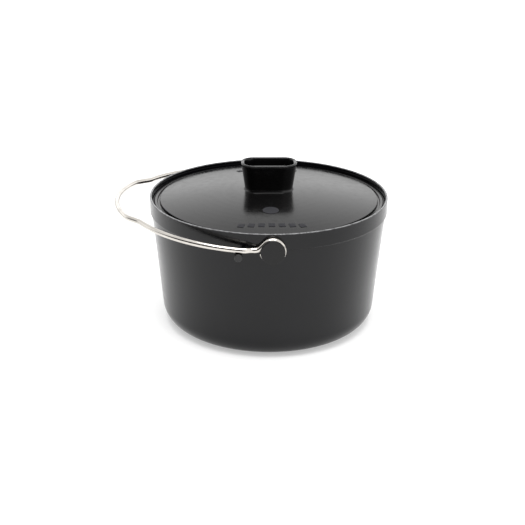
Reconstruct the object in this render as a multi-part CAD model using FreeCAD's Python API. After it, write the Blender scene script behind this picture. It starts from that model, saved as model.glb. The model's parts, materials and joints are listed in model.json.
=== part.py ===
"""Cast iron dutch oven: pot, sunk lid with a hollow knob, and a steel wire bail on two side studs.

Millimetres, +Z up.  The origin is the middle of the flat base, which stands on z = 0.
The two studs stand on the Y axis, and the bail rests toward -X.
"""

import FreeCAD, Part

import math
import os

from FreeCAD import Vector

os.makedirs("parts", exist_ok=True)

# ---- pot: driving dimensions ----
POT_HEIGHT = 152.0
RIM_RADIUS = 138.0
BAND_HEIGHT = 18.8            # thicker band round the rim
BAND_STEP = 1.8               # how far the band stands out from the wall
DRAFT = 0.0891                # radius gained per mm of height
CORNER_RADIUS = 22.0
WALL = 3.2
FLOOR = 4.0
LIP_THICKNESS = 2.4
LEDGE_DEPTH = 8.8             # from the lip down to the ledge that the lid rests on
LEDGE_WIDTH = 2.8
LIP_ROUNDING = 0.9
LEDGE_EASING = 0.5            # small roundings inside the lip
BAND_SLOPE = 1.2              # rise of the short underside of the band
BAND_ROUNDING = 0.3
LEDGE_FADE = 12.0             # height over which the ledge runs out into the wall
LEDGE_FADE_BEND = 20.0

# ---- lid ----
LID_GAP = 0.4                 # clearance between the lid's edge and the ledge
LID_EDGE_RADIUS = 134.9
LID_EDGE_HEIGHT = 1.0
BEAD_CREST_Z = 146.5
BEAD_INNER_RADIUS = 129.3
BEAD_OUTER_RADIUS = 132.6
BEAD_FLANK = 0.6              # the bead's outer side leans out by this much
DOME_RADIUS = 126.2
DOME_EDGE_Z = 147.7
DOME_TOP_Z = 157.6
GROOVE_DEPTH = 3.4
GROOVE_SLOPE = 0.4            # each side of the groove leans in by this much
GROOVE_ROUNDING = 0.5
BEAD_ROUNDING = 0.9
DOME_BLEND = 2.0              # the arc of the dome ends this far inside the groove
LID_PLATE = 3.2
SKIRT_RADIUS = 131.6
SKIRT_THICKNESS = 6.6         # it backs up the groove
SKIRT_DRAFT = 0.2
SKIRT_ROUNDING = 0.8
SKIRT_BOTTOM_Z = 140.6
EDGE_EASING = 0.3              # small rounding of the lid's seated edges

# ---- knob: an open trough, wider at its top ----
KNOB_TOP_Z = 189.6
KNOB_TOP_LENGTH = 64.0
KNOB_TOP_WIDTH = 39.0
KNOB_TOP_CORNER = 16.0
KNOB_BASE_LENGTH = 55.6
KNOB_BASE_WIDTH = 32.4
KNOB_BASE_CORNER = 14.0
KNOB_WALL = 3.7
KNOB_FLOOR_Z = 164.0
KNOB_FLOOR_CORNER = 11.0
KNOB_FOOT_SPREAD = 1.3
KNOB_FOOT_HEIGHT = 1.6
KNOB_RIM_ROUNDING = 1.2
KNOB_FLOOR_ROUNDING = 2.5
KNOB_SINK = 2.0               # how far the block starts below the dome before it is trimmed
KNOB_FOOT_TOP = 0.2           # what is left of the foot where it meets the side

# ---- screws that hold the knob from under the lid ----
SCREW_SPACING = 28.0
SCREW_DIAMETER = 5.0
SCREW_DEPTH = 4.6             # thread length inside the knob's floor
SCREW_HEAD_DIAMETER = 9.5
SCREW_HEAD_HEIGHT = 2.8
SCREW_HOLE_CLEARANCE = 0.3
SCREW_PLAY = 0.05             # head to lid
SCREW_TIP_GAP = 0.4           # shank to the bottom of its hole
SCREW_HEAD_ROUNDING = 1.6
SCREW_TIP_ROUNDING = 0.5
HEX_ACROSS_FLATS = 3.2
HEX_DEPTH = 1.8

# ---- studs and stop pegs ----
AXIS_Z = 134.8                # height of the bail's hinge line
NECK_RADIUS = 8.0
HEAD_RADIUS = 13.0
HEAD_THICKNESS = 2.5
HEAD_INNER_Y = 145.2
HEAD_ROUNDING = 0.9
HEAD_EASING = 0.4             # where the head meets the neck, and its inner edge
SHANK_RADIUS = 4.0
RIVET_RADIUS = 5.0
RIVET_Y = 130.2               # inner end of the peened shank
RIVET_LENGTH = 6.0            # reaches into the wall, which trims it
RIVET_ROUNDING = 0.6
PEG_X = -36.0
PEG_Z = 129.05
PEG_RADIUS = 4.3
PEG_END_Y = 148.0
PEG_ROUNDING = 1.0
PEG_SHANK_RADIUS = 2.4
PEG_RIVET_RADIUS = 4.2
PEG_RIVET_Y = 123.6
PEG_RIVET_LENGTH = 4.0
HOLE_START_Y = 115.0          # the shank holes are cut from inside the wall outward
HOLE_END_Y = 143.0

# ---- bail: one bent wire.  u runs from the hinge line toward the grip, v is +-Y ----
WIRE_RADIUS = 3.0
EYE_RADIUS = 11.4
EYE_Y = 141.8
EYE_JOIN_ANGLE = 140.0        # where the arm runs into the eye
EYE_CUT_ANGLE = -50.0         # direction the slanted cut end faces away from
EYE_CUT_GAP = 1.1
EYE_CUT_LIMIT = -195.0        # the ring runs this far before its slanted cut
EYE_SPLIT_ANGLE = 0.0
CUTTER_SIZE = 14.0
ARM_RISE = -0.3               # the arm's height over the hinge line, in the bail's own plane
ARM_BEND = 10.0
JOGGLE_START = 22.5
JOGGLE_LENGTH = 7.5
JOGGLE_BEND = 8.0
JOGGLE_END_BEND = 14.0
ARM_ARC_START = 36.0
ARM_ARC_END = 142.0
ARM_ARC_CENTRE = 20.0
ARM_ARC_RADIUS = 145.0
OFFSET_SLOPE = 37.0           # degrees, the short run that steps the grip outward
OFFSET_LEAD = 3.5             # from the last corner to the start of the grip's arc
OFFSET_FIRST_BEND = 14.0
OFFSET_LAST_BEND = 20.0
GRIP_ARC_START = 163.0
GRIP_ARC_CENTRE = 47.0
GRIP_ARC_RADIUS = 129.0
REST_TILT = 3.7               # degrees above the horizontal when it lies on the pegs

TOUCH = 0.01                  # heights closer than this are the same height

UP = Vector(0, 0, 1)
ALONG_Y = Vector(0, 1, 0)
ORIGIN = Vector(0, 0, 0)


def bend_edges(corners):
    """Straight runs joined by tangent arcs.  corners holds (point, bend radius) pairs."""
    edges = []
    start = corners[0][0]
    for index in range(1, len(corners) - 1):
        corner, radius = corners[index]
        back = (corners[index - 1][0] - corner).normalize()
        ahead = (corners[index + 1][0] - corner).normalize()
        half_opening = back.getAngle(ahead) / 2
        if radius > 0:
            reach = radius / math.tan(half_opening)
            arc_start = corner + back * reach
            arc_end = corner + ahead * reach
            middle = (back + ahead).normalize()
            arc_middle = corner + middle * (radius / math.sin(half_opening) - radius)
            edges.append(Part.LineSegment(start, arc_start).toShape())
            edges.append(Part.Arc(arc_start, arc_middle, arc_end).toShape())
            start = arc_end
        else:
            edges.append(Part.LineSegment(start, corner).toShape())
            start = corner
    edges.append(Part.LineSegment(start, corners[-1][0]).toShape())
    return edges


def turned(profile, axis=UP):
    """A solid of revolution.  profile holds (radius, height, rounding) corners from axis to axis."""
    if axis == UP:
        corners = [(Vector(radius, 0, height), rounding) for radius, height, rounding in profile]
    else:
        corners = [(Vector(radius, height, 0), rounding) for radius, height, rounding in profile]
    edges = bend_edges(corners)
    closing = Part.LineSegment(corners[-1][0], corners[0][0]).toShape()
    face = Part.Face(Part.Wire(edges + [closing]))
    return face.revolve(ORIGIN, axis, 360)


def rounded_rectangle(length, width, corner, height):
    """A closed rounded rectangle in the plane z = height, as eight edges."""
    half_length = length / 2
    half_width = width / 2
    edges = []
    previous = None
    first = None
    for turn, sign_x, sign_y in ((0, 1, 1), (90, -1, 1), (180, -1, -1), (270, 1, -1)):
        centre = Vector(sign_x * (half_length - corner), sign_y * (half_width - corner), height)
        points = []
        for angle in (turn, turn + 45, turn + 90):
            radians = math.radians(angle)
            points.append(centre + Vector(math.cos(radians), math.sin(radians), 0) * corner)
        if previous is not None:
            edges.append(Part.LineSegment(previous, points[0]).toShape())
        else:
            first = points[0]
        edges.append(Part.Arc(*points).toShape())
        previous = points[2]
    edges.append(Part.LineSegment(previous, first).toShape())
    return Part.Wire(edges)


def wall_radius(height):
    """Outer radius of the tapered wall at a height above the corner."""
    return RIM_RADIUS - BAND_STEP - DRAFT * (POT_HEIGHT - BAND_HEIGHT - height)


def pot_outline():
    """Outer outline of the pot from the middle of the base up to the lip."""
    band_z = POT_HEIGHT - BAND_HEIGHT
    corner_r = wall_radius(0)
    return [
        (0, 0, 0),
        (corner_r, 0, CORNER_RADIUS),
        (wall_radius(band_z), band_z, 0),
        (RIM_RADIUS, band_z + BAND_SLOPE, BAND_ROUNDING),
        (RIM_RADIUS, POT_HEIGHT, LIP_ROUNDING),
    ]


def make_pot_solid():
    """The whole pot casting before the stud and peg holes."""
    ledge_z = POT_HEIGHT - LEDGE_DEPTH
    lip_inner = RIM_RADIUS - LIP_THICKNESS
    inner_top = lip_inner - LEDGE_WIDTH
    inner_low = wall_radius(FLOOR) - WALL
    profile = pot_outline() + [
        (lip_inner, POT_HEIGHT, LIP_ROUNDING),
        (lip_inner, ledge_z, LEDGE_EASING),
        (inner_top, ledge_z, LEDGE_EASING),
        (wall_radius(POT_HEIGHT - BAND_HEIGHT) - WALL, ledge_z - LEDGE_FADE, LEDGE_FADE_BEND),
        (inner_low, FLOOR, CORNER_RADIUS - WALL),
        (0, FLOOR, 0),
    ]
    return turned(profile)


def stud(side):
    """A riveted side stud: round head, neck that carries the eye, shank and peened inner end."""
    head_outer = HEAD_INNER_Y + HEAD_THICKNESS
    profile = [
        (0, RIVET_Y, 0),
        (RIVET_RADIUS, RIVET_Y, RIVET_ROUNDING),
        (RIVET_RADIUS, RIVET_Y + RIVET_LENGTH, 0),
        (NECK_RADIUS, RIVET_Y + RIVET_LENGTH, 0),
        (NECK_RADIUS, HEAD_INNER_Y, HEAD_EASING),
        (HEAD_RADIUS, HEAD_INNER_Y, HEAD_EASING),
        (HEAD_RADIUS, head_outer, HEAD_ROUNDING),
        (0, head_outer, 0),
    ]
    shape = turned(profile, ALONG_Y)
    shape.translate(Vector(0, 0, AXIS_Z))
    if side < 0:
        shape = shape.mirror(ORIGIN, ALONG_Y)
    return shape


def peg(side):
    """A stop peg that the bail rests on, riveted through the wall in the same way."""
    profile = [
        (0, PEG_RIVET_Y, 0),
        (PEG_RIVET_RADIUS, PEG_RIVET_Y, RIVET_ROUNDING),
        (PEG_RIVET_RADIUS, PEG_RIVET_Y + PEG_RIVET_LENGTH, 0),
        (PEG_RADIUS, PEG_RIVET_Y + PEG_RIVET_LENGTH, 0),
        (PEG_RADIUS, PEG_END_Y, PEG_ROUNDING),
        (0, PEG_END_Y, 0),
    ]
    shape = turned(profile, ALONG_Y)
    shape.translate(Vector(PEG_X, 0, PEG_Z))
    if side < 0:
        shape = shape.mirror(ORIGIN, ALONG_Y)
    return shape


def shank_hole(radius, x, z, side):
    """The straight hole through the wall that a shank fills."""
    hole = Part.makeCylinder(radius, HOLE_END_Y - HOLE_START_Y, Vector(x, HOLE_START_Y, z), ALONG_Y)
    if side < 0:
        hole = hole.mirror(ORIGIN, ALONG_Y)
    return hole


def make_pot_and_studs():
    """The pot with its four holes, and the studs and pegs cut to fit the wall around them."""
    pot = make_pot_solid()
    for side in (-1, 1):
        pot = pot.cut(shank_hole(SHANK_RADIUS, 0, AXIS_Z, side))
        pot = pot.cut(shank_hole(PEG_SHANK_RADIUS, PEG_X, PEG_Z, side))
    made = {"pot_body": pot}
    for name, side in (("front", -1), ("rear", 1)):
        made[name + "_pivot_stud"] = stud(side).cut(pot)
        made[name + "_stop_peg"] = peg(side).cut(pot)
    return made


def dome_sphere_radius():
    """Radius of the sphere whose cap is the lid's dome."""
    rise = DOME_TOP_Z - DOME_EDGE_Z
    return (DOME_RADIUS ** 2 + rise ** 2) / (2 * rise)


def dome_z(radius, drop=0.0):
    """Height of the dome's surface, or of its underside at a vertical drop, at a radius."""
    sphere = dome_sphere_radius()
    return DOME_TOP_Z - drop - (sphere - math.sqrt(sphere ** 2 - radius ** 2))


def make_lid():
    """The lid: a shallow dome, a groove, a raised bead, and a locating skirt underneath."""
    seat_z = POT_HEIGHT - LEDGE_DEPTH + LID_GAP
    edge_top_z = seat_z + LID_EDGE_HEIGHT
    groove_z = DOME_EDGE_Z - GROOVE_DEPTH
    skirt_inner = SKIRT_RADIUS - SKIRT_THICKNESS
    under_z = dome_z(skirt_inner, LID_PLATE)
    rim_corners = [
        (DOME_RADIUS, DOME_EDGE_Z, GROOVE_ROUNDING),
        (DOME_RADIUS + GROOVE_SLOPE, groove_z, GROOVE_ROUNDING),
        (BEAD_INNER_RADIUS - GROOVE_SLOPE, groove_z, GROOVE_ROUNDING),
        (BEAD_INNER_RADIUS, BEAD_CREST_Z, BEAD_ROUNDING),
        (BEAD_OUTER_RADIUS, BEAD_CREST_Z, BEAD_ROUNDING),
        (BEAD_OUTER_RADIUS + BEAD_FLANK, edge_top_z, EDGE_EASING),
        (LID_EDGE_RADIUS, edge_top_z, EDGE_EASING),
        (LID_EDGE_RADIUS, seat_z, EDGE_EASING),
        (SKIRT_RADIUS, seat_z, EDGE_EASING),
        (SKIRT_RADIUS - SKIRT_DRAFT, SKIRT_BOTTOM_Z, SKIRT_ROUNDING),
        (skirt_inner, SKIRT_BOTTOM_Z, SKIRT_ROUNDING),
    ]
    top_start = Vector(0, 0, DOME_TOP_Z)
    top_middle = Vector(DOME_RADIUS / 2, 0, dome_z(DOME_RADIUS / 2))
    blend_r = DOME_RADIUS - DOME_BLEND
    top_end = Vector(blend_r, 0, dome_z(blend_r))
    bottom_start = Vector(skirt_inner, 0, under_z)
    bottom_middle = Vector(skirt_inner / 2, 0, dome_z(skirt_inner / 2, LID_PLATE))
    bottom_end = Vector(0, 0, DOME_TOP_Z - LID_PLATE)
    corners = [(top_end, 0)]
    corners += [(Vector(radius, 0, height), rounding) for radius, height, rounding in rim_corners]
    corners += [(bottom_start, 0)]
    edges = [Part.Arc(top_start, top_middle, top_end).toShape()]
    edges += bend_edges(corners)
    edges.append(Part.Arc(bottom_start, bottom_middle, bottom_end).toShape())
    edges.append(Part.LineSegment(bottom_end, top_start).toShape())
    lid = Part.Face(Part.Wire(edges)).revolve(ORIGIN, UP, 360)
    for x in (-SCREW_SPACING / 2, SCREW_SPACING / 2):
        radius = SCREW_DIAMETER / 2 + SCREW_HOLE_CLEARANCE
        lid = lid.cut(Part.makeCylinder(radius, 4 * LID_PLATE, Vector(x, 0, DOME_TOP_Z - 2 * LID_PLATE), UP))
    return lid


def make_knob(lid):
    """The hollow knob, its foot following the dome, with two blind holes for the screws."""
    foot_z = DOME_TOP_Z - KNOB_SINK
    base = rounded_rectangle(KNOB_BASE_LENGTH, KNOB_BASE_WIDTH, KNOB_BASE_CORNER, foot_z)
    top = rounded_rectangle(KNOB_TOP_LENGTH, KNOB_TOP_WIDTH, KNOB_TOP_CORNER, KNOB_TOP_Z)
    outer = Part.makeLoft([base, top], True, True)
    foot_low = rounded_rectangle(KNOB_BASE_LENGTH + 2 * KNOB_FOOT_SPREAD,
                                 KNOB_BASE_WIDTH + 2 * KNOB_FOOT_SPREAD,
                                 KNOB_BASE_CORNER + KNOB_FOOT_SPREAD, foot_z)
    foot_high = rounded_rectangle(KNOB_BASE_LENGTH + 2 * KNOB_FOOT_TOP, KNOB_BASE_WIDTH + 2 * KNOB_FOOT_TOP,
                                  KNOB_BASE_CORNER + KNOB_FOOT_TOP, DOME_TOP_Z + KNOB_FOOT_HEIGHT)
    outer = outer.fuse(Part.makeLoft([foot_low, foot_high], True, True)).removeSplitter()
    flare = (KNOB_FLOOR_Z - foot_z) / (KNOB_TOP_Z - foot_z)
    floor_length = KNOB_BASE_LENGTH + (KNOB_TOP_LENGTH - KNOB_BASE_LENGTH) * flare
    floor_width = KNOB_BASE_WIDTH + (KNOB_TOP_WIDTH - KNOB_BASE_WIDTH) * flare
    hollow_low = rounded_rectangle(floor_length - 2 * KNOB_WALL, floor_width - 2 * KNOB_WALL,
                                   KNOB_FLOOR_CORNER, KNOB_FLOOR_Z)
    hollow_high = rounded_rectangle(KNOB_TOP_LENGTH - 2 * KNOB_WALL, KNOB_TOP_WIDTH - 2 * KNOB_WALL,
                                    KNOB_TOP_CORNER - KNOB_WALL, KNOB_TOP_Z)
    hollow = Part.makeLoft([hollow_low, hollow_high], True, True)
    knob = outer.cut(hollow)
    top_edges = [edge for edge in knob.Edges if edge.BoundBox.ZMin > KNOB_TOP_Z - TOUCH]
    knob = knob.makeFillet(KNOB_RIM_ROUNDING, top_edges)
    floor_edges = [edge for edge in knob.Edges
                   if abs(edge.BoundBox.ZMin - KNOB_FLOOR_Z) < TOUCH
                   and abs(edge.BoundBox.ZMax - KNOB_FLOOR_Z) < TOUCH]
    knob = knob.makeFillet(KNOB_FLOOR_ROUNDING, floor_edges)
    for x in (-SCREW_SPACING / 2, SCREW_SPACING / 2):
        hole = Part.makeCylinder(SCREW_DIAMETER / 2, DOME_TOP_Z + SCREW_DEPTH - foot_z,
                                 Vector(x, 0, foot_z), UP)
        knob = knob.cut(hole)
    dome_ball = Part.makeSphere(dome_sphere_radius(), Vector(0, 0, DOME_TOP_Z - dome_sphere_radius()))
    return knob.cut(dome_ball)


def make_knob_screws():
    """Two button-head screws, driven from under the lid into the knob's floor."""
    half_hex = HEX_ACROSS_FLATS / 2 / math.cos(math.radians(30))
    head_top_z = dome_z(SCREW_SPACING / 2 + SCREW_HEAD_DIAMETER / 2, LID_PLATE) - SCREW_PLAY
    head_bottom_z = head_top_z - SCREW_HEAD_HEIGHT
    tip_z = DOME_TOP_Z + SCREW_DEPTH - SCREW_TIP_GAP
    profile = [
        (0, head_bottom_z, 0),
        (SCREW_HEAD_DIAMETER / 2, head_bottom_z, SCREW_HEAD_ROUNDING),
        (SCREW_HEAD_DIAMETER / 2, head_top_z, 0),
        (SCREW_DIAMETER / 2, head_top_z, 0),
        (SCREW_DIAMETER / 2, tip_z, SCREW_TIP_ROUNDING),
        (0, tip_z, 0),
    ]
    hexagon = []
    for corner in range(7):
        angle = math.radians(60 * corner)
        hexagon.append(Vector(half_hex * math.cos(angle), half_hex * math.sin(angle), head_bottom_z - 1))
    socket = Part.Face(Part.makePolygon(hexagon)).extrude(UP * (HEX_DEPTH + 1))
    screws = []
    for x in (-SCREW_SPACING / 2, SCREW_SPACING / 2):
        screw = turned(profile).cut(socket)
        screw.translate(Vector(x, 0, 0))
        screws.append(screw)
    return Part.makeCompound(screws)


def bail_point(u, v, w):
    """A point of the bail in its own plane: u toward the grip, v sideways, w above the plane."""
    return Vector(-u, v, w)


def arc_v(centre, radius, u):
    """Sideways distance of a circle centred on the bail's middle line, at a distance u."""
    return math.sqrt(radius ** 2 - (u - centre) ** 2)


def arc_slope(centre, radius, u):
    """Slope dv/du of that circle at u."""
    return -(u - centre) / arc_v(centre, radius, u)


def arm_corners():
    """Corners of one arm from the eye to the start of its long arc, on the +v side."""
    join = math.radians(EYE_JOIN_ANGLE)
    join_u = -EYE_RADIUS * math.cos(join)
    join_w = EYE_RADIUS * math.sin(join)
    run = (join_w - ARM_RISE) / -math.cos(join)
    arm_u = join_u + run * math.sin(join)
    start_v = arc_v(ARM_ARC_CENTRE, ARM_ARC_RADIUS, ARM_ARC_START)
    start_slope = arc_slope(ARM_ARC_CENTRE, ARM_ARC_RADIUS, ARM_ARC_START)
    joggle_end = JOGGLE_START + JOGGLE_LENGTH
    joggle_v = start_v - (ARM_ARC_START - joggle_end) * start_slope
    return [
        (bail_point(join_u, EYE_Y, join_w), 0),
        (bail_point(arm_u, EYE_Y, ARM_RISE), ARM_BEND),
        (bail_point(JOGGLE_START, EYE_Y, ARM_RISE), JOGGLE_BEND),
        (bail_point(joggle_end, joggle_v, ARM_RISE), JOGGLE_END_BEND),
        (bail_point(ARM_ARC_START, start_v, ARM_RISE), 0),
    ]


def offset_corners():
    """Corners of the short outward step between the arm's arc and the grip's arc."""
    arm_v = arc_v(ARM_ARC_CENTRE, ARM_ARC_RADIUS, ARM_ARC_END)
    arm_slope = arc_slope(ARM_ARC_CENTRE, ARM_ARC_RADIUS, ARM_ARC_END)
    grip_v = arc_v(GRIP_ARC_CENTRE, GRIP_ARC_RADIUS, GRIP_ARC_START)
    grip_slope = arc_slope(GRIP_ARC_CENTRE, GRIP_ARC_RADIUS, GRIP_ARC_START)
    last_u = GRIP_ARC_START - OFFSET_LEAD
    last_v = grip_v - OFFSET_LEAD * grip_slope
    step_slope = -math.tan(math.radians(OFFSET_SLOPE))
    first_u = (last_v - step_slope * last_u - arm_v + arm_slope * ARM_ARC_END) / (arm_slope - step_slope)
    first_v = arm_v + arm_slope * (first_u - ARM_ARC_END)
    return [
        (bail_point(ARM_ARC_END, arm_v, ARM_RISE), 0),
        (bail_point(first_u, first_v, ARM_RISE), OFFSET_FIRST_BEND),
        (bail_point(last_u, last_v, ARM_RISE), OFFSET_LAST_BEND),
        (bail_point(GRIP_ARC_START, grip_v, ARM_RISE), 0),
    ]


def mirrored(corners):
    """The same corners on the other side, in the opposite order."""
    return [(Vector(point.x, -point.y, point.z), bend) for point, bend in reversed(corners)]


def arc_between(start, end, centre, radius):
    """An arc of a circle centred on the bail's middle line, from one point to another."""
    hub = Vector(-centre, 0, start.z)
    middle = hub + ((start - hub) + (end - hub)).normalize() * radius
    return Part.Arc(start, middle, end).toShape()


def make_wire_run(edges):
    """A round rod along tangent edges."""
    path = Part.Wire(edges)
    start = path.Edges[0]
    tangent = start.tangentAt(start.FirstParameter)
    section = Part.Wire(Part.makeCircle(WIRE_RADIUS, start.valueAt(start.FirstParameter), tangent))
    return path.makePipeShell([section], True, False)


def eye_arc(start_angle, end_angle, side):
    """A stretch of the eye's circle round the hinge line, between two angles in radians."""
    points = []
    for angle in (start_angle, (start_angle + end_angle) / 2, end_angle):
        points.append(Vector(EYE_RADIUS * math.cos(angle), side * EYE_Y, EYE_RADIUS * math.sin(angle)))
    return Part.Arc(*points).toShape()


def make_eye(side):
    """One eye, an open ring round the stud, cut on a slant beside the arm that runs into it."""
    join = math.radians(EYE_JOIN_ANGLE)
    far_side = math.radians(EYE_SPLIT_ANGLE)
    upper = make_wire_run([eye_arc(far_side, join, side)])
    lower = make_wire_run([eye_arc(math.radians(EYE_CUT_LIMIT), far_side, side)])
    run = (EYE_RADIUS * math.sin(join) - ARM_RISE) / -math.cos(join)
    corner_x = EYE_RADIUS * math.cos(join) - run * math.sin(join)
    turn = math.radians(EYE_JOIN_ANGLE - 90)
    bend_centre = Vector(corner_x - ARM_BEND * math.tan(turn / 2), 0, ARM_RISE + ARM_BEND)
    facing = math.radians(EYE_CUT_ANGLE)
    away = Vector(math.cos(facing), 0, math.sin(facing))
    along = Vector(-away.z, 0, away.x)
    cut_point = bend_centre + away * (ARM_BEND + WIRE_RADIUS + EYE_CUT_GAP)
    cut_point.y = side * EYE_Y - CUTTER_SIZE / 2
    corners = [cut_point - along * CUTTER_SIZE, cut_point + along * CUTTER_SIZE]
    corners += [corners[1] - away * CUTTER_SIZE, corners[0] - away * CUTTER_SIZE, corners[0]]
    cutter = Part.Face(Part.makePolygon(corners)).extrude(ALONG_Y * CUTTER_SIZE)
    return upper.fuse(lower.cut(cutter))


def make_bail():
    """The bail: two eyes, two arms and the grip, one rod, laid on the stop pegs."""
    arm = arm_corners()
    offset = offset_corners()
    far_offset = mirrored(offset)
    far_arm = mirrored(arm)
    edges = bend_edges(arm)
    edges.append(arc_between(arm[-1][0], offset[0][0], ARM_ARC_CENTRE, ARM_ARC_RADIUS))
    edges += bend_edges(offset)
    edges.append(arc_between(offset[-1][0], far_offset[0][0], GRIP_ARC_CENTRE, GRIP_ARC_RADIUS))
    edges += bend_edges(far_offset)
    edges.append(arc_between(far_offset[-1][0], far_arm[0][0], ARM_ARC_CENTRE, ARM_ARC_RADIUS))
    edges += bend_edges(far_arm)
    bail = make_wire_run(edges)
    for side in (-1, 1):
        bail = bail.fuse(make_eye(side))
    bail = bail.removeSplitter()
    bail.rotate(ORIGIN, ALONG_Y, REST_TILT)
    bail.translate(Vector(0, 0, AXIS_Z))
    return bail


def main():
    nodes = make_pot_and_studs()
    lid = make_lid()
    nodes["lid_plate"] = lid
    nodes["lid_knob"] = make_knob(lid)
    nodes["knob_screws"] = make_knob_screws()
    nodes["bail_handle"] = make_bail()
    for name, shape in nodes.items():
        shape.exportStep("parts/" + name + ".step")
        box = shape.BoundBox
        print(name, "solids", len(shape.Solids), "valid", shape.isValid(),
              "volume", round(shape.Volume / 1000, 2), "cm3",
              "x", round(box.XMin, 1), round(box.XMax, 1),
              "y", round(box.YMin, 1), round(box.YMax, 1),
              "z", round(box.ZMin, 1), round(box.ZMax, 1))


main()
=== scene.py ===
"""Looks of the cast iron dutch oven: turned iron castings, a bent steel bail, and studio light.

Metres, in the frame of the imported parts.  The pot's axis is Z, and the hinge line of the bail
runs along Y through both side studs.
"""

import json
import math

import bpy
from mathutils import Matrix, Vector


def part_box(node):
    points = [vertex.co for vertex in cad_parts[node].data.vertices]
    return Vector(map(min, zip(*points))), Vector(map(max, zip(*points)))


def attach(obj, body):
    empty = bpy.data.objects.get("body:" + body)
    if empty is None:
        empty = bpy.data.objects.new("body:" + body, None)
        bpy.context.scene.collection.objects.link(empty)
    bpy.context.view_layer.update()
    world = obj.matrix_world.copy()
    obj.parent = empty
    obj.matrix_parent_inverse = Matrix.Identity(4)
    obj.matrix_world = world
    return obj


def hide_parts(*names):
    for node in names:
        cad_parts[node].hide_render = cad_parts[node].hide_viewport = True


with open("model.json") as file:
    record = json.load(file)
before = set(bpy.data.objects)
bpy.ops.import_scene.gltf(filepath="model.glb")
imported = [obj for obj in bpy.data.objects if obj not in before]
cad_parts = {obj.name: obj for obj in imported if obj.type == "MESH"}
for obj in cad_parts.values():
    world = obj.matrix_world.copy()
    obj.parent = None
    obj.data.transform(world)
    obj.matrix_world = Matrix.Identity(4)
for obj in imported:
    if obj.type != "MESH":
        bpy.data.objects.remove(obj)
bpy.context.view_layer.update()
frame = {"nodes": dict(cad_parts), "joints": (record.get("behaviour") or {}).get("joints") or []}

MM = 0.001

# ---- places taken from the frame ----
POT_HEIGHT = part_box("pot_body")[1].z
RIM_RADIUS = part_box("pot_body")[1].y
STUD_LOW, STUD_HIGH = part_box("rear_pivot_stud")
PEG_LOW, PEG_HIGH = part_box("rear_stop_peg")
KNOB_LOW, KNOB_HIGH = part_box("lid_knob")
HINGE_Z = next(joint["pos_m"][2] for joint in frame["joints"] if joint["name"] == "bail_swing")
DOME_TOP_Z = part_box("lid_plate")[1].z

# ---- pot ----
BAND_HEIGHT = 18.8 * MM
BAND_STEP = 1.8 * MM
BAND_SLOPE = 1.2 * MM
DRAFT = 0.0891
CORNER_RADIUS = 22 * MM
WALL = 3.2 * MM
FLOOR_THICKNESS = 4 * MM
LIP_THICKNESS = 2.4 * MM
LEDGE_DEPTH = 8.8 * MM
LEDGE_WIDTH = 2.8 * MM
LEDGE_FADE = 12 * MM          # height over which the ledge runs out into the wall
LEDGE_FADE_BEND = 20 * MM
LIP_ROUNDING = 0.9 * MM
BAND_ROUNDING = 0.9 * MM
BAND_FOOT_ROUNDING = 0.4 * MM
LEDGE_FOOT_ROUNDING = 0.5 * MM
LEDGE_ROUNDING = 0.6 * MM

# ---- lid ----
LID_GAP = 0.4 * MM
LID_EDGE_RADIUS = 134.9 * MM
LID_EDGE_HEIGHT = 1.0 * MM
BEAD_CREST_Z = 146.5 * MM
BEAD_INNER_RADIUS = 129.3 * MM
BEAD_OUTER_RADIUS = 132.6 * MM
BEAD_FLANK = 0.6 * MM
DOME_RADIUS = 126.2 * MM
DOME_EDGE_Z = 147.7 * MM
GROOVE_DEPTH = 3.4 * MM
GROOVE_SLOPE = 0.4 * MM
LID_PLATE = 3.2 * MM
SKIRT_RADIUS = 131.6 * MM
SKIRT_THICKNESS = 6.6 * MM
SKIRT_DRAFT = 0.2 * MM
SKIRT_BOTTOM_Z = 140.6 * MM
GROOVE_ROUNDING = 0.5 * MM
BEAD_ROUNDING = 0.9 * MM
LID_EDGE_EASING = 0.3 * MM
SKIRT_ROUNDING = 0.8 * MM
DOME_RISE = DOME_TOP_Z - DOME_EDGE_Z
DOME_SPHERE = (DOME_RADIUS ** 2 + DOME_RISE ** 2) / (2 * DOME_RISE)
DOME_BLEND = 2 * MM           # the dome's arc stops this far inside the groove
DOME_STEPS = 14

# ---- plain raised marks on the lid ----
MARK_RISE = 0.45 * MM
MARK_BODY = 1.2 * MM
MARK_EASING = 0.35 * MM
MARK_WIDTH = 7 * MM
MARK_DEPTH = 7.5 * MM
MARK_COUNT = 7
MARK_SPAN = 66 * MM
FRONT_MARK_Y = -106 * MM
BACK_MARK_Y = 83 * MM
BOSS_Y = -70 * MM
BOSS_RADIUS = 9 * MM

# ---- knob ----
KNOB_BASE = Vector((55.6 * MM, 32.4 * MM))
KNOB_TOP = Vector((64.0 * MM, 39.0 * MM))
KNOB_CORNER = 15.0 * MM
KNOB_WALL = 3.7 * MM
KNOB_FLOOR_Z = 164.0 * MM
KNOB_HOLLOW_TAPER = (50.3 / 56.6, 26.6 / 31.6, 1)
KNOB_FOOT = 1.3 * MM
KNOB_FOOT_RISE = 1.6 * MM
KNOB_FOOT_HEIGHT = 2.4 * MM
KNOB_EDGE_ROUNDING = 1.2 * MM
KNOB_FLOOR_ROUNDING = 2.5 * MM
KNOB_RINGS = tuple(height * MM for height in (166, 170, 175, 180, 185))

# ---- studs and pegs ----
NECK_RADIUS = 8.0 * MM
RIVET_RADIUS = 5.0 * MM
RIVET_LENGTH = 6 * MM
RIVET_ROUNDING = 0.6 * MM
HEAD_THICKNESS = 2.5 * MM
HEAD_ROUNDING = 0.9 * MM
HEAD_EASING = 0.4 * MM
NECK_EASING = 0.3 * MM
STUD_STEPS = 64
PEG_RIVET_RADIUS = 4.2 * MM
PEG_RIVET_LENGTH = 4 * MM
PEG_ROUNDING = 1.0 * MM
PEG_STEPS = 40

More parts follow.
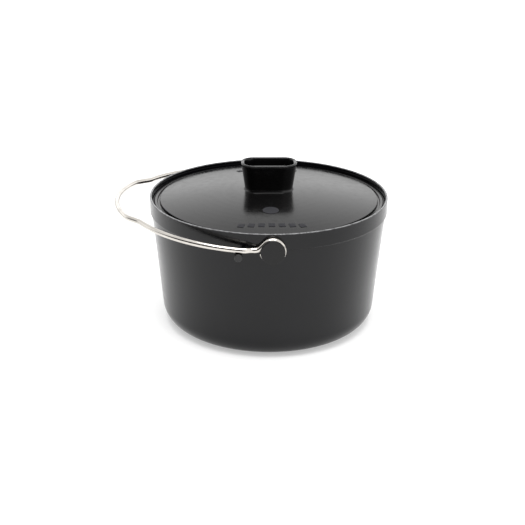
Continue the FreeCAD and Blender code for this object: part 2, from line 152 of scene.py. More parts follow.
# ---- bail ----
WIRE_RADIUS = 3.0 * MM
EYE_RADIUS = 11.4 * MM
EYE_Y = 141.8 * MM
EYE_JOIN = math.radians(140)
ARM_RISE = -0.3 * MM
ARM_BEND = 10 * MM
REST_TILT = math.radians(3.7)
GRIP_CENTRE, GRIP_RADIUS, GRIP_END = 47 * MM, 129 * MM, 163 * MM
ARM_CENTRE, ARM_RADIUS = 20 * MM, 145 * MM
ARM_FAR, ARM_NEAR = 142 * MM, 36 * MM
STEP_SLOPE = -math.tan(math.radians(37))
STEP_LEAD = 3.5 * MM
STEP_GRIP_BEND, STEP_ARM_BEND = 20 * MM, 14 * MM
JOGGLE_FAR, JOGGLE_NEAR = 30 * MM, 22.5 * MM
JOGGLE_FAR_BEND, JOGGLE_NEAR_BEND = 14 * MM, 8 * MM
EYE_TURN = math.radians(335)
EYE_CUT_FACING = math.radians(-50)
EYE_CUT_GAP = 1.1 * MM
EYE_CUT_EASING = 0.35 * MM
WIRE_SIDES = 24

# ---- finish and studio ----
IRON_IOR = 1.35
FLOOR_RADIUS = 9
LAMP_PLACE = (0.0, -0.25, 1.7)
LAMP_SIZE = 1.1
LAMP_ENERGY = 30
LAMP_AIM = Vector((0, 0, 0.1))
FLOOR_GLOW = 0.4
DARK_END = (-0.55, -0.83, 0)   # direction of the dark end of the room
DARKEST = 0.98                 # share of the wall's light that is missing there
CAMERA_AZIMUTH = math.radians(-1.6)
CAMERA_ELEVATION = math.radians(22.294)
CAMERA_ROLL = math.radians(0.307)
CAMERA_AIM = Vector((-6.824, 0, 64.0)) * MM
CAMERA_DISTANCE = 1.2
CAMERA_LENS = 68.64

# ---- fineness ----
TURN_STEPS = 240
LONGEST_RUN = 6 * MM
HOLD = 0.5 * MM
TOUCH = 0.01 * MM             # places closer than this are the same place
SEAM = 0.004 * MM


# ======== modelling helpers ========

def deselect_all():
    """Leaves nothing selected, so that the next operator acts on the new piece alone."""
    if bpy.context.object and bpy.context.object.mode == "EDIT":
        bpy.ops.object.mode_set(mode="OBJECT")
    bpy.ops.object.select_all(action="DESELECT")


def select_only(*pieces):
    """Selects these pieces and nothing else; the first is the active one."""
    deselect_all()
    for piece in pieces:
        piece.select_set(True)
    bpy.context.view_layer.objects.active = pieces[0]


def edit():
    bpy.ops.object.mode_set(mode="EDIT")


def leave_edit():
    bpy.ops.object.mode_set(mode="OBJECT")


def pick(piece, wanted, kind="VERT"):
    """In edit mode, selects only the vertices, edges or faces whose middle passes the test."""
    bpy.ops.mesh.select_mode(type=kind)
    bpy.ops.mesh.select_all(action="DESELECT")
    leave_edit()
    mesh = piece.data
    if kind == "VERT":
        for vertex in mesh.vertices:
            vertex.select = wanted(vertex.co)
    elif kind == "EDGE":
        for edge in mesh.edges:
            ends = [mesh.vertices[index].co for index in edge.vertices]
            edge.select = wanted((ends[0] + ends[1]) / 2, ends[1] - ends[0])
    else:
        for face in mesh.polygons:
            face.select = wanted(face.center, face.normal)
    edit()


def apply_modifier(piece, kind, **settings):
    modifier = piece.modifiers.new(kind.lower(), kind)
    for key, value in settings.items():
        setattr(modifier, key, value)
    bpy.context.view_layer.objects.active = piece
    bpy.ops.object.modifier_apply(modifier=modifier.name)


def finish_piece(piece, body, slot, *nodes):
    """Smooth shading with the large faces keeping their own direction, then the body it rides on."""
    leave_edit()
    select_only(piece)
    bpy.ops.object.transform_apply(location=True, rotation=True, scale=True)
    bpy.ops.object.shade_smooth_by_angle(angle=math.radians(50))
    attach(piece, body)
    if nodes:
        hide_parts(*nodes)
    return piece


def draw_outline(name, corners, along=Vector((0, 0, 1))):
    """A new piece that is one chain of edges through (radius, height, rounding) corners.

    Long runs are divided, and a holding point stands beside each rounding.
    """
    points = [Vector((radius, 0, 0)) + along * height for radius, height, _ in corners]
    reaches = [0.0] * len(points)
    turns = [0.0] * len(points)
    for index in range(1, len(points) - 1):
        before = (points[index] - points[index - 1]).normalized()
        after = (points[index + 1] - points[index]).normalized()
        turns[index] = before.angle(after)
        reaches[index] = corners[index][2] * math.tan(turns[index] / 2)
    deselect_all()
    bpy.ops.mesh.primitive_plane_add(size=MM, location=points[0])
    piece = bpy.context.object
    piece.name = name
    bpy.ops.object.transform_apply(location=True)
    edit()
    bpy.ops.mesh.select_mode(type="VERT")
    bpy.ops.mesh.select_all(action="SELECT")
    bpy.ops.mesh.merge(type="CENTER")
    here = points[0]
    for index in range(1, len(points)):
        run = points[index] - points[index - 1]
        heading = run.normalized()
        start = points[index - 1] + heading * (reaches[index - 1] + HOLD)
        end = points[index] - heading * (reaches[index] + HOLD)
        stops = [points[index]]
        if (end - start).dot(heading) > HOLD:
            parts = max(1, math.ceil((end - start).length / LONGEST_RUN))
            stops = [start.lerp(end, part / parts) for part in range(parts + 1)] + stops
        for stop in stops:
            bpy.ops.mesh.extrude_region_move(TRANSFORM_OT_translate={"value": stop - here})
            here = stop
    for point, reach, turn in zip(points, reaches, turns):
        if reach > 0:
            pick(piece, lambda place, point=point: (place - point).length < TOUCH)
            segments = max(3, math.ceil(math.degrees(turn) / 9), math.ceil(reach / (2.5 * MM)))
            bpy.ops.mesh.bevel(affect="VERTICES", offset=reach, segments=segments,
                               offset_type="OFFSET", clamp_overlap=False)
    return piece


def turn_on_lathe(piece, axis=(0, 0, 1), centre=(0, 0, 0), steps=TURN_STEPS):
    """Spins the outline right round and closes the seam and the poles."""
    bpy.ops.mesh.select_mode(type="VERT")
    bpy.ops.mesh.select_all(action="SELECT")
    bpy.ops.mesh.spin(steps=steps, angle=math.tau, center=centre, axis=axis)
    bpy.ops.mesh.select_all(action="SELECT")
    bpy.ops.mesh.remove_doubles(threshold=SEAM)
    bpy.ops.mesh.normals_make_consistent(inside=False)
    return piece


# ======== materials ========

def start_material(name):
    """A new material with its tree, its Principled shader and the piece's own coordinates."""
    material = bpy.data.materials.new(name)
    material.use_nodes = True
    tree = material.node_tree
    shader = next(node for node in tree.nodes if node.type == "BSDF_PRINCIPLED")
    coordinates = tree.nodes.new("ShaderNodeTexCoord").outputs["Object"]
    return material, tree, shader, coordinates


def put(tree, kind, inputs=None, **settings):
    """A node with its settings, and its inputs set to a value or linked from a socket."""
    made = tree.nodes.new(kind)
    for key, value in settings.items():
        setattr(made, key, value)
    for key, value in (inputs or {}).items():
        if isinstance(value, bpy.types.NodeSocket):
            tree.links.new(value, made.inputs[key])
        else:
            made.inputs[key].default_value = value
    return made


def noise(tree, vector, scale, detail=3.0, roughness=0.5):
    made = put(tree, "ShaderNodeTexNoise", {"Vector": vector, "Scale": scale, "Detail": detail,
                                            "Roughness": roughness})
    return made.outputs["Fac"]


def spread(tree, value, low, high, new_low, new_high):
    """Maps a value from one range to another, held at its ends."""
    made = put(tree, "ShaderNodeMapRange", {"Value": value, "From Min": low, "From Max": high,
                                            "To Min": new_low, "To Max": new_high})
    return made.outputs["Result"]


def combine(tree, operation, first, second):
    """The sum, difference or product of two values."""
    return put(tree, "ShaderNodeMath", {0: first, 1: second}, operation=operation).outputs[0]


def blend_colours(tree, factor, first, second):
    made = put(tree, "ShaderNodeMix", {"Factor": factor}, data_type="RGBA")
    for socket, colour in ((made.inputs[6], first), (made.inputs[7], second)):
        if isinstance(colour, bpy.types.NodeSocket):
            tree.links.new(colour, socket)
        else:
            socket.default_value = (*colour, 1.0)
    return made.outputs[2]


def bump(tree, height, strength, distance, normal=None):
    inputs = {"Height": height, "Strength": strength, "Distance": distance}
    if normal is not None:
        inputs["Normal"] = normal
    return put(tree, "ShaderNodeBump", inputs).outputs["Normal"]


def cast_iron(name, dark, light, smooth, rough, grain, grain_size):
    """Black oven-baked iron: cloudy gloss, a fine sand grain and a soft orange-peel under it."""
    material, tree, shader, place = start_material(name)
    clouds = noise(tree, place, 22, 4)
    mottle = noise(tree, place, 170, 3)
    sand = noise(tree, place, 1 / grain_size, 4, 0.6)
    tone = spread(tree, clouds, 0.3, 0.7, 0, 1)
    colour = blend_colours(tree, tone, dark, light)
    tree.links.new(colour, shader.inputs["Base Color"])
    cloudy = spread(tree, clouds, 0.3, 0.7, smooth, rough)
    fleck = spread(tree, mottle, 0.35, 0.7, -0.03, 0.05)
    gloss = combine(tree, "ADD", cloudy, fleck)
    tree.links.new(gloss, shader.inputs["Roughness"])
    peel = bump(tree, mottle, grain, 0.12 * MM)
    relief = bump(tree, sand, grain, 0.05 * MM, peel)
    tree.links.new(relief, shader.inputs["Normal"])
    shader.inputs["IOR"].default_value = IRON_IOR
    return material


def paint_lip_highlight(material):
    """Paints the top of the pot's lip lighter in noisy patches: a painted highlight for the light the lip's
    top catches.
    """
    tree = material.node_tree
    shader = next(node for node in tree.nodes if node.type == "BSDF_PRINCIPLED")
    place = tree.nodes.new("ShaderNodeTexCoord").outputs["Object"]
    height = put(tree, "ShaderNodeSeparateXYZ", {"Vector": place}).outputs["Z"]
    near_top = spread(tree, height, POT_HEIGHT - 0.9 * MM, POT_HEIGHT - 0.3 * MM, 0, 1)
    patches = spread(tree, noise(tree, place, 260, 3), 0.35, 0.6, 0.35, 1)
    lip_highlight_share = combine(tree, "MULTIPLY", near_top, patches)
    finish = shader.inputs["Base Color"].links[0].from_socket
    # painted highlight: the lip's top is mixed toward a light grey, in patches
    lip_with_highlight = blend_colours(tree, lip_highlight_share, finish, (0.16, 0.16, 0.165))
    tree.links.new(lip_with_highlight, shader.inputs["Base Color"])


def bail_steel():
    """Bright drawn stainless wire, with fine scratches and faint handling marks."""
    material, tree, shader, place = start_material("bail_steel")
    stain = noise(tree, place, 60, 3)
    hairline = noise(tree, place, 1500, 2)
    tone = spread(tree, stain, 0.35, 0.7, 0, 1)
    colour = blend_colours(tree, tone, (0.62, 0.59, 0.55), (0.50, 0.475, 0.44))
    tree.links.new(colour, shader.inputs["Base Color"])
    tree.links.new(spread(tree, stain, 0.3, 0.7, 0.08, 0.16), shader.inputs["Roughness"])
    tree.links.new(bump(tree, hairline, 0.15, 0.02 * MM), shader.inputs["Normal"])
    shader.inputs["Metallic"].default_value = 1.0
    return material


def plain_steel():
    """Dull zinc-grey screw steel."""
    material, tree, shader, place = start_material("screw_steel")
    patch = noise(tree, place, 400, 3)
    colour = blend_colours(tree, patch, (0.42, 0.42, 0.41), (0.28, 0.27, 0.26))
    tree.links.new(colour, shader.inputs["Base Color"])
    tree.links.new(spread(tree, patch, 0.3, 0.7, 0.3, 0.5), shader.inputs["Roughness"])
    tree.links.new(bump(tree, patch, 0.2, 0.03 * MM), shader.inputs["Normal"])
    shader.inputs["Metallic"].default_value = 1.0
    return material


def dress(piece, material):
    piece.data.materials.clear()
    piece.data.materials.append(material)


# ======== castings ========

def wall_radius(height):
    """Outer radius of the tapered wall at a height."""
    return RIM_RADIUS - BAND_STEP - DRAFT * (POT_HEIGHT - BAND_HEIGHT - height)


def make_pot():
    """The pot: flat base, round corner, tapered wall, rim band, thin lip and the lid's ledge."""
    band_z = POT_HEIGHT - BAND_HEIGHT
    ledge_z = POT_HEIGHT - LEDGE_DEPTH
    lip_inner = RIM_RADIUS - LIP_THICKNESS
    piece = draw_outline("pot_casting", [
        (0, 0, 0),
        (wall_radius(0), 0, CORNER_RADIUS),
        (wall_radius(band_z), band_z, BAND_FOOT_ROUNDING),
        (RIM_RADIUS, band_z + BAND_SLOPE, BAND_ROUNDING),
        (RIM_RADIUS, POT_HEIGHT, LIP_ROUNDING),
        (lip_inner, POT_HEIGHT, LIP_ROUNDING),
        (lip_inner, ledge_z, LEDGE_FOOT_ROUNDING),
        (lip_inner - LEDGE_WIDTH, ledge_z, LEDGE_ROUNDING),
        (wall_radius(band_z) - WALL, ledge_z - LEDGE_FADE, LEDGE_FADE_BEND),
        (wall_radius(FLOOR_THICKNESS) - WALL, FLOOR_THICKNESS, CORNER_RADIUS - WALL),
        (0, FLOOR_THICKNESS, 0),
    ])
    turn_on_lathe(piece)
    iron = cast_iron("pot_iron", (0.0018, 0.0018, 0.0024), (0.0034, 0.0034, 0.0042),
                     0.15, 0.22, 0.12, 0.9 * MM)
    paint_lip_highlight(iron)
    dress(piece, iron)
    return finish_piece(piece, "pot", "pot_iron", "pot_body")


def dome_z(radius, drop=0.0):
    """Height of the lid's domed top, or of its underside at a drop, at a radius."""
    return DOME_TOP_Z - drop - (DOME_SPHERE - math.sqrt(DOME_SPHERE ** 2 - radius ** 2))


def make_lid():
    """The lid: domed plate, dark groove, raised bead, seated edge and a skirt underneath."""
    seat_z = POT_HEIGHT - LEDGE_DEPTH + LID_GAP
    edge_top_z = seat_z + LID_EDGE_HEIGHT
    groove_z = DOME_EDGE_Z - GROOVE_DEPTH
    skirt_inner = SKIRT_RADIUS - SKIRT_THICKNESS
    top = []
    under = []
    for step in range(DOME_STEPS):
        share = step / (DOME_STEPS - 1)
        top_radius = (DOME_RADIUS - DOME_BLEND) * share
        top.append((top_radius, dome_z(top_radius), 0))
        under_radius = skirt_inner * (1 - share)
        under.append((under_radius, dome_z(under_radius, LID_PLATE), 0))
    piece = draw_outline("lid_casting", top + [
        (DOME_RADIUS, DOME_EDGE_Z, GROOVE_ROUNDING),
        (DOME_RADIUS + GROOVE_SLOPE, groove_z, GROOVE_ROUNDING),
        (BEAD_INNER_RADIUS - GROOVE_SLOPE, groove_z, GROOVE_ROUNDING),
        (BEAD_INNER_RADIUS, BEAD_CREST_Z, BEAD_ROUNDING),
        (BEAD_OUTER_RADIUS, BEAD_CREST_Z, BEAD_ROUNDING),
        (BEAD_OUTER_RADIUS + BEAD_FLANK, edge_top_z, LID_EDGE_EASING),
        (LID_EDGE_RADIUS, edge_top_z, LID_EDGE_EASING),
        (LID_EDGE_RADIUS, seat_z, LID_EDGE_EASING),
        (SKIRT_RADIUS, seat_z, LID_EDGE_EASING),
        (SKIRT_RADIUS - SKIRT_DRAFT, SKIRT_BOTTOM_Z, SKIRT_ROUNDING),
        (skirt_inner, SKIRT_BOTTOM_Z, SKIRT_ROUNDING),
    ] + under)
    turn_on_lathe(piece)
    dress(piece, cast_iron("lid_iron", (0.002, 0.002, 0.0022), (0.0035, 0.0033, 0.0033),
                           0.15, 0.21, 0.12, 0.8 * MM))
    return finish_piece(piece, "lid", "lid_iron", "lid_plate")


def on_dome(x, y):
    """Where the middle of a raised mark lies, and how it tilts to stand square to the dome."""
    out = Vector((x, y, math.sqrt(DOME_SPHERE ** 2 - x ** 2 - y ** 2))).normalized()
    centre = Vector((0, 0, DOME_TOP_Z - DOME_SPHERE))
    place = centre + out * (DOME_SPHERE + MARK_RISE - MARK_BODY / 2)
    return place, out.to_track_quat("Z", "Y").to_euler()


def mark_block(x, y):
    """One of the equal plain blocks of a row."""
    place, tilt = on_dome(x, y)
    deselect_all()
    bpy.ops.mesh.primitive_cube_add(size=1, location=place, rotation=tilt)
    block = bpy.context.object
    block.scale = (MARK_WIDTH, MARK_DEPTH, MARK_BODY)
    bpy.ops.object.transform_apply(location=True, rotation=True, scale=True)
    apply_modifier(block, "BEVEL", width=MARK_EASING, segments=3, limit_method="ANGLE")
    return block


def finish_mark(name, piece):
    """Names a mark and gives it the lid's own iron."""
    piece.name = name
    dress(piece, bpy.data.materials["lid_iron"])
    return finish_piece(piece, "lid", "lid_iron")


def make_mark_row(name, y):
    """A row of equal blocks, evenly spaced, as one piece."""
    gap = MARK_SPAN / (MARK_COUNT - 1)
    blocks = [mark_block(gap * step - MARK_SPAN / 2, y) for step in range(MARK_COUNT)]
    select_only(*blocks)
    bpy.ops.object.join()
    return finish_mark(name, bpy.context.object)


def make_lid_boss():
    """A plain round boss between the knob and the front row."""
    place, tilt = on_dome(0, BOSS_Y)
    deselect_all()
    bpy.ops.mesh.primitive_cylinder_add(vertices=64, radius=BOSS_RADIUS, depth=MARK_BODY,
                                        location=place, rotation=tilt)
    boss = bpy.context.object
    bpy.ops.object.transform_apply(location=True, rotation=True)
    apply_modifier(boss, "BEVEL", width=MARK_EASING, segments=3, limit_method="ANGLE")
    return finish_mark("lid_round_boss", boss)


def make_knob():
    """The knob: a block with rounded corners, flared upward, hollowed, and given a small foot."""
    foot_top_z = DOME_TOP_Z + KNOB_FOOT_RISE
    middle_z = (foot_top_z + KNOB_HIGH.z) / 2
    foot_growth = (1 + 2 * KNOB_FOOT / KNOB_BASE.x, 1 + 2 * KNOB_FOOT / KNOB_BASE.y, 1)
    deselect_all()
    bpy.ops.mesh.primitive_cube_add(size=1, location=(0, 0, middle_z))
    piece = bpy.context.object
    piece.name = "knob_casting"
    piece.scale = (KNOB_BASE.x, KNOB_BASE.y, KNOB_HIGH.z - foot_top_z)
    bpy.ops.object.transform_apply(location=True, scale=True)
    edit()
    pick(piece, lambda place: place.z > middle_z)
    bpy.ops.transform.resize(value=(KNOB_TOP.x / KNOB_BASE.x, KNOB_TOP.y / KNOB_BASE.y, 1),
                             center_override=(0, 0, 0))
    pick(piece, lambda place, run: abs(place.z - middle_z) < MM, "EDGE")
    bpy.ops.mesh.bevel(offset=KNOB_CORNER, segments=12, offset_type="OFFSET")
    pick(piece, lambda place, normal: normal.z > 0.9, "FACE")
    bpy.ops.mesh.inset(thickness=KNOB_WALL)
    bpy.ops.mesh.extrude_region_move(TRANSFORM_OT_translate={"value": (0, 0, KNOB_FLOOR_Z - KNOB_HIGH.z)})
    bpy.ops.transform.resize(value=KNOB_HOLLOW_TAPER, center_override=(0, 0, KNOB_FLOOR_Z))
    pick(piece, lambda place, normal: normal.z < -0.9, "FACE")
    bpy.ops.mesh.extrude_region_move(TRANSFORM_OT_translate={"value": (0, 0, -KNOB_FOOT_HEIGHT)})
    bpy.ops.transform.resize(value=foot_growth, center_override=(0, 0, 0))
    pick(piece, lambda place, run: place.z > KNOB_HIGH.z - TOUCH and abs(run.z) < TOUCH, "EDGE")
    bpy.ops.mesh.bevel(offset=KNOB_EDGE_ROUNDING, segments=4, offset_type="OFFSET")
    pick(piece, lambda place, run: abs(place.z - KNOB_FLOOR_Z) < TOUCH, "EDGE")
    bpy.ops.mesh.bevel(offset=KNOB_FLOOR_ROUNDING, segments=4, offset_type="OFFSET")
    pick(piece, lambda place, run: abs(place.z - foot_top_z) < TOUCH, "EDGE")
    bpy.ops.mesh.bevel(offset=KNOB_EDGE_ROUNDING, segments=4, offset_type="OFFSET")
    for height in KNOB_RINGS:
        bpy.ops.mesh.select_all(action="SELECT")
        bpy.ops.mesh.bisect(plane_co=(0, 0, height), plane_no=(0, 0, 1))
    leave_edit()
    apply_modifier(piece, "WEIGHTED_NORMAL", keep_sharp=True)
    dress(piece, cast_iron("knob_iron", (0.0015, 0.0015, 0.0017), (0.003, 0.0028, 0.0028),
                           0.13, 0.18, 0.1, 0.8 * MM))
    return finish_piece(piece, "lid", "lid_iron", "lid_knob")


def mirror_to_front(piece):
    """Carries a rear piece over to the front side, with its faces still pointing outward."""
    select_only(piece)
    edit()
    bpy.ops.mesh.select_all(action="SELECT")
    bpy.ops.transform.mirror(constraint_axis=(False, True, False), center_override=(0, 0, 0))
    bpy.ops.mesh.normals_make_consistent(inside=False)
    leave_edit()


def make_stud(name, side):
    """A side stud: round head, neck in the bail's eye, and a shank peened inside the pot."""
    head_outer = STUD_HIGH.y
    head_inner = head_outer - HEAD_THICKNESS
    head_radius = (STUD_HIGH.x - STUD_LOW.x) / 2
    shank_end = STUD_LOW.y
    piece = draw_outline(name, [
        (0, shank_end, 0),
        (RIVET_RADIUS, shank_end, RIVET_ROUNDING),
        (RIVET_RADIUS, shank_end + RIVET_LENGTH, 0),
        (NECK_RADIUS, shank_end + RIVET_LENGTH, 0),
        (NECK_RADIUS, head_inner, NECK_EASING),
        (head_radius, head_inner, HEAD_EASING),
        (head_radius, head_outer, HEAD_ROUNDING),
        (0, head_outer, 0),
    ], along=Vector((0, 1, 0)))
    turn_on_lathe(piece, axis=(0, 1, 0), steps=STUD_STEPS)
    leave_edit()
    piece.data.transform(Matrix.Translation((0, 0, HINGE_Z)))
    if side < 0:
        mirror_to_front(piece)
    dress(piece, cast_iron("stud_iron", (0.0025, 0.0025, 0.0028), (0.0045, 0.0042, 0.0042),
                           0.16, 0.24, 0.15, 0.7 * MM))
    return finish_piece(piece, "pot", "fitting_iron", name.replace("button", "pivot_stud"))


def make_peg(name, side):
    """A stop peg that the bail rests on."""
    radius = (PEG_HIGH.x - PEG_LOW.x) / 2
    centre_x = (PEG_HIGH.x + PEG_LOW.x) / 2
    centre_z = (PEG_HIGH.z + PEG_LOW.z) / 2
    piece = draw_outline(name, [
        (0, PEG_LOW.y, 0),
        (PEG_RIVET_RADIUS, PEG_LOW.y, RIVET_ROUNDING),
        (PEG_RIVET_RADIUS, PEG_LOW.y + PEG_RIVET_LENGTH, 0),
        (radius, PEG_LOW.y + PEG_RIVET_LENGTH, 0),
        (radius, PEG_HIGH.y, PEG_ROUNDING),
        (0, PEG_HIGH.y, 0),
    ], along=Vector((0, 1, 0)))
    turn_on_lathe(piece, axis=(0, 1, 0), steps=PEG_STEPS)
    leave_edit()
    piece.data.transform(Matrix.Translation((centre_x, 0, centre_z)))
    if side < 0:
        mirror_to_front(piece)
    dress(piece, cast_iron("peg_iron", (0.014, 0.014, 0.0145), (0.03, 0.03, 0.03),
                           0.25, 0.4, 0.3, 0.7 * MM))
    return finish_piece(piece, "pot", "fitting_iron", name.replace("rest_peg", "stop_peg"))


# ======== bail ========

def bend_moves(corners):
    """Turns (point, bend radius) corners into straight moves and arcs that touch them."""
    moves = []
    for before, corner, after in zip(corners, corners[1:], corners[2:]):
        point, radius = corner
        incoming = (point - before[0]).normalized()
        outgoing = (after[0] - point).normalized()
        turn = incoming.angle(outgoing)
        reach = radius * math.tan(turn / 2)
        axis = incoming.cross(outgoing).normalized()
        start = point - incoming * reach
        moves.append(("to", start))
        moves.append(("arc", start + axis.cross(incoming) * radius, axis, turn))
    moves.append(("to", corners[-1][0]))
    return moves


def circle_v(centre, radius, u):
    """Sideways reach of a round stretch of the bail at a distance u toward the grip."""
    return math.sqrt(radius ** 2 - (u - centre) ** 2)


def bail_point(u, v, w=ARM_RISE):
    """A point of the front half, in the bail's own plane: u toward the grip, v sideways."""
    return Vector((-u, -v, w))


def bail_moves():
    """The front half of the bail, from the middle of the grip to the far end of the eye."""
    grip_v = circle_v(GRIP_CENTRE, GRIP_RADIUS, GRIP_END)
    grip_slope = -(GRIP_END - GRIP_CENTRE) / grip_v
    far_v = circle_v(ARM_CENTRE, ARM_RADIUS, ARM_FAR)
    far_slope = -(ARM_FAR - ARM_CENTRE) / far_v
    near_v = circle_v(ARM_CENTRE, ARM_RADIUS, ARM_NEAR)
    near_slope = -(ARM_NEAR - ARM_CENTRE) / near_v
    last_u = GRIP_END - STEP_LEAD
    last_v = grip_v - STEP_LEAD * grip_slope
    first_u = (last_v - STEP_SLOPE * last_u - far_v + far_slope * ARM_FAR) / (far_slope - STEP_SLOPE)
    first_v = far_v + far_slope * (first_u - ARM_FAR)
    joggle_v = near_v - (ARM_NEAR - JOGGLE_FAR) * near_slope
    join_u = -EYE_RADIUS * math.cos(EYE_JOIN)
    join_w = EYE_RADIUS * math.sin(EYE_JOIN)
    climb = (join_w - ARM_RISE) / -math.cos(EYE_JOIN)
    up_axis = Vector((0, 0, 1))
    grip_angle = math.atan2(grip_v, GRIP_END - GRIP_CENTRE)
    arm_angle = math.atan2(near_v, ARM_NEAR - ARM_CENTRE) - math.atan2(far_v, ARM_FAR - ARM_CENTRE)
    moves = [("arc", bail_point(GRIP_CENTRE, 0), up_axis, grip_angle)]
    moves += bend_moves([
        (bail_point(GRIP_END, grip_v), 0),
        (bail_point(last_u, last_v), STEP_GRIP_BEND),
        (bail_point(first_u, first_v), STEP_ARM_BEND),
        (bail_point(ARM_FAR, far_v), 0),
    ])
    moves.append(("arc", bail_point(ARM_CENTRE, 0), up_axis, arm_angle))
    moves += bend_moves([
        (bail_point(ARM_NEAR, near_v), 0),
        (bail_point(JOGGLE_FAR, joggle_v), JOGGLE_FAR_BEND),
        (bail_point(JOGGLE_NEAR, EYE_Y), JOGGLE_NEAR_BEND),
        (bail_point(join_u + climb * math.sin(EYE_JOIN), EYE_Y), ARM_BEND),
        (bail_point(join_u, EYE_Y, join_w), 0),
    ])
    moves.append(("arc", Vector((0, -EYE_Y, 0)), Vector((0, 1, 0)), EYE_TURN))
    return moves


def follow(moves, start):
    """Carries the selected ring along the moves, and returns the face count before the last one."""
    here = start
    faces = 0
    for move in moves:
        bpy.context.object.update_from_editmode()
        faces = len(bpy.context.object.data.polygons)
        if move[0] == "to":
            run = move[1] - here
            parts = max(1, math.ceil(run.length / (4 * MM)))
            for _ in range(parts):
                bpy.ops.mesh.extrude_region_move(TRANSFORM_OT_translate={"value": run / parts})
            here = move[1]
        else:
            _, centre, axis, turn = move
            radius = (here - centre).length
            steps = max(3, math.ceil(math.degrees(turn) / 7), math.ceil(radius * turn / (4 * MM)))
            bpy.ops.mesh.spin(steps=steps, angle=-turn, center=centre, axis=axis)
            here = centre + Matrix.Rotation(turn, 3, axis) @ (here - centre)
    return faces


def make_bail():
    """One steel rod, bent from the middle of the grip to the front eye, and mirrored to the rear."""
    start = bail_point(GRIP_CENTRE + GRIP_RADIUS, 0)
    deselect_all()
    bpy.ops.mesh.primitive_circle_add(vertices=WIRE_SIDES, radius=WIRE_RADIUS, location=start,
                                      rotation=(math.pi / 2, 0, 0))
    piece = bpy.context.object
    piece.name = "bail_wire"
    bpy.ops.object.transform_apply(location=True, rotation=True)
    edit()
    bpy.ops.mesh.select_all(action="SELECT")
    eye_faces = follow(bail_moves(), start)
    cut_eye_end(piece, eye_faces)
    leave_edit()
    apply_modifier(piece, "MIRROR", use_axis=(False, True, False), merge_threshold=TOUCH)
    piece.data.transform(Matrix.Translation((0, 0, HINGE_Z)) @ Matrix.Rotation(REST_TILT, 4, "Y"))
    edit()
    bpy.ops.mesh.select_all(action="SELECT")
    bpy.ops.mesh.normals_make_consistent(inside=False)
    dress(piece, bail_steel())
    return finish_piece(piece, "bail", "bail_steel", "bail_handle")


def cut_eye_end(piece, eye_faces):
    """Cuts the eye's end on the slant that faces the arm, and closes it."""
    turn = EYE_JOIN - math.pi / 2
    climb = (EYE_RADIUS * math.sin(EYE_JOIN) - ARM_RISE) / -math.cos(EYE_JOIN)
    corner_x = EYE_RADIUS * math.cos(EYE_JOIN) - climb * math.sin(EYE_JOIN)
    bend_centre = Vector((corner_x - ARM_BEND * math.tan(turn / 2), -EYE_Y, ARM_RISE + ARM_BEND))
    away = Vector((math.cos(EYE_CUT_FACING), 0, math.sin(EYE_CUT_FACING)))
    place = bend_centre + away * (ARM_BEND + WIRE_RADIUS + EYE_CUT_GAP)
    leave_edit()
    for face in piece.data.polygons:
        angle = math.degrees(math.atan2(face.center.z, face.center.x)) % 360
        face.select = face.index >= eye_faces and 150 < angle < 250
    edit()
    bpy.ops.mesh.select_mode(type="FACE")
    bpy.ops.mesh.bisect(plane_co=place, plane_no=-away, clear_outer=True, use_fill=True)
    bpy.ops.mesh.select_mode(type="EDGE")
    bpy.ops.mesh.bevel(offset=EYE_CUT_EASING, segments=3, offset_type="OFFSET")


# ======== stage, light and camera ========

def make_stage():
    """A plain pale floor inside white walls, with one broad soft light above."""
    bpy.ops.mesh.primitive_circle_add(vertices=64, radius=FLOOR_RADIUS, fill_type="NGON", location=(0, 0, 0))
    floor = bpy.context.object
    floor.name = "studio_floor"
    material, tree, shader, place = start_material("floor_paper")
    shade = blend_colours(tree, noise(tree, place, 3, 2), (0.62, 0.62, 0.62), (0.6, 0.6, 0.6))
    tree.links.new(shade, shader.inputs["Base Color"])
    shader.inputs["Emission Color"].default_value = (1, 1, 1, 1)
    shader.inputs["Emission Strength"].default_value = FLOOR_GLOW
    shader.inputs["Roughness"].default_value = 0.9
    shader.inputs["Specular IOR Level"].default_value = 0.0
    dress(floor, material)
    make_surround()
    bpy.ops.object.light_add(type="AREA", location=LAMP_PLACE)
    lamp = bpy.context.object
    lamp.name = "overhead_softbox"
    lamp.data.size = LAMP_SIZE
    lamp.data.energy = LAMP_ENERGY
    lamp.rotation_euler = (LAMP_AIM - lamp.location).to_track_quat("-Z", "Y").to_euler()


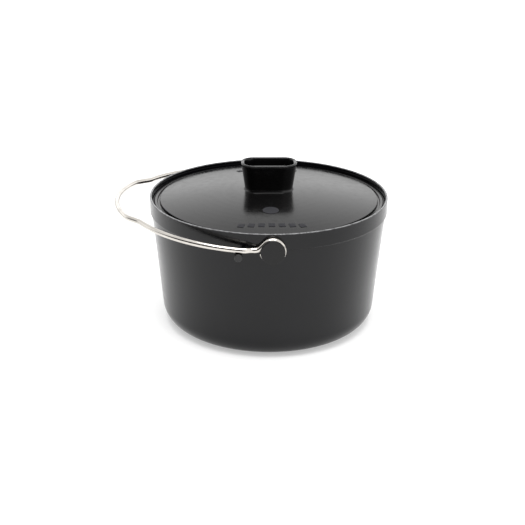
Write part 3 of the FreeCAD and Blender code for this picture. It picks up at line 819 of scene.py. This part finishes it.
def make_surround():
    """White studio walls with a dim skirting, and the dark end of the room at the front left."""
    world = bpy.data.worlds.new("studio_walls")
    world.use_nodes = True
    tree = world.node_tree
    background = tree.nodes["Background"]
    direction = tree.nodes.new("ShaderNodeTexCoord").outputs["Generated"]
    height = put(tree, "ShaderNodeSeparateXYZ", {"Vector": direction}).outputs["Z"]
    toward = put(tree, "ShaderNodeVectorMath", {0: direction, 1: DARK_END}, operation="DOT_PRODUCT")
    dark_end = spread(tree, toward.outputs["Value"], 0.4, 0.75, 0, 1)
    under_ceiling = spread(tree, height, 0.6, 0.8, 1, 0)
    dark = combine(tree, "MULTIPLY", dark_end, under_ceiling)
    upper = spread(tree, height, 0.25, 0.6, 1.85, 1.2)
    skirting = spread(tree, height, 0.02, 0.22, 0.35, 1)
    white = combine(tree, "MULTIPLY", upper, skirting)
    missing = combine(tree, "MULTIPLY", DARKEST, dark)
    share = combine(tree, "SUBTRACT", 1.0, missing)
    strength = combine(tree, "MULTIPLY", white, share)
    tree.links.new(strength, background.inputs["Strength"])
    background.inputs["Color"].default_value = (1, 1, 1, 1)
    bpy.context.scene.world = world


def make_camera():
    """The camera: a little above the lid, in front of the front stud."""
    level = math.cos(CAMERA_ELEVATION)
    back = Vector((math.sin(CAMERA_AZIMUTH) * level,
                   -math.cos(CAMERA_AZIMUTH) * level, math.sin(CAMERA_ELEVATION)))
    right = Vector((math.cos(CAMERA_AZIMUTH), math.sin(CAMERA_AZIMUTH), 0))
    up = back.cross(right)
    rolled_right = right * math.cos(CAMERA_ROLL) + up * math.sin(CAMERA_ROLL)
    rolled_up = up * math.cos(CAMERA_ROLL) - right * math.sin(CAMERA_ROLL)
    turned = Matrix((rolled_right, rolled_up, back)).transposed().to_4x4()
    bpy.ops.object.camera_add()
    camera = bpy.context.object
    camera.matrix_world = Matrix.Translation(CAMERA_AIM + back * CAMERA_DISTANCE) @ turned
    camera.data.sensor_width = 36
    camera.data.lens = CAMERA_LENS
    bpy.context.scene.camera = camera


bpy.context.scene.view_settings.view_transform = "Standard"
make_pot()
make_lid()
make_mark_row("lid_front_marks", FRONT_MARK_Y)
make_mark_row("lid_back_marks", BACK_MARK_Y)
make_lid_boss()
make_knob()
make_stud("rear_button", 1)
make_stud("front_button", -1)
make_peg("rear_rest_peg", 1)
make_peg("front_rest_peg", -1)
make_bail()
dress(frame["nodes"]["knob_screws"], plain_steel())
make_stage()
make_camera()
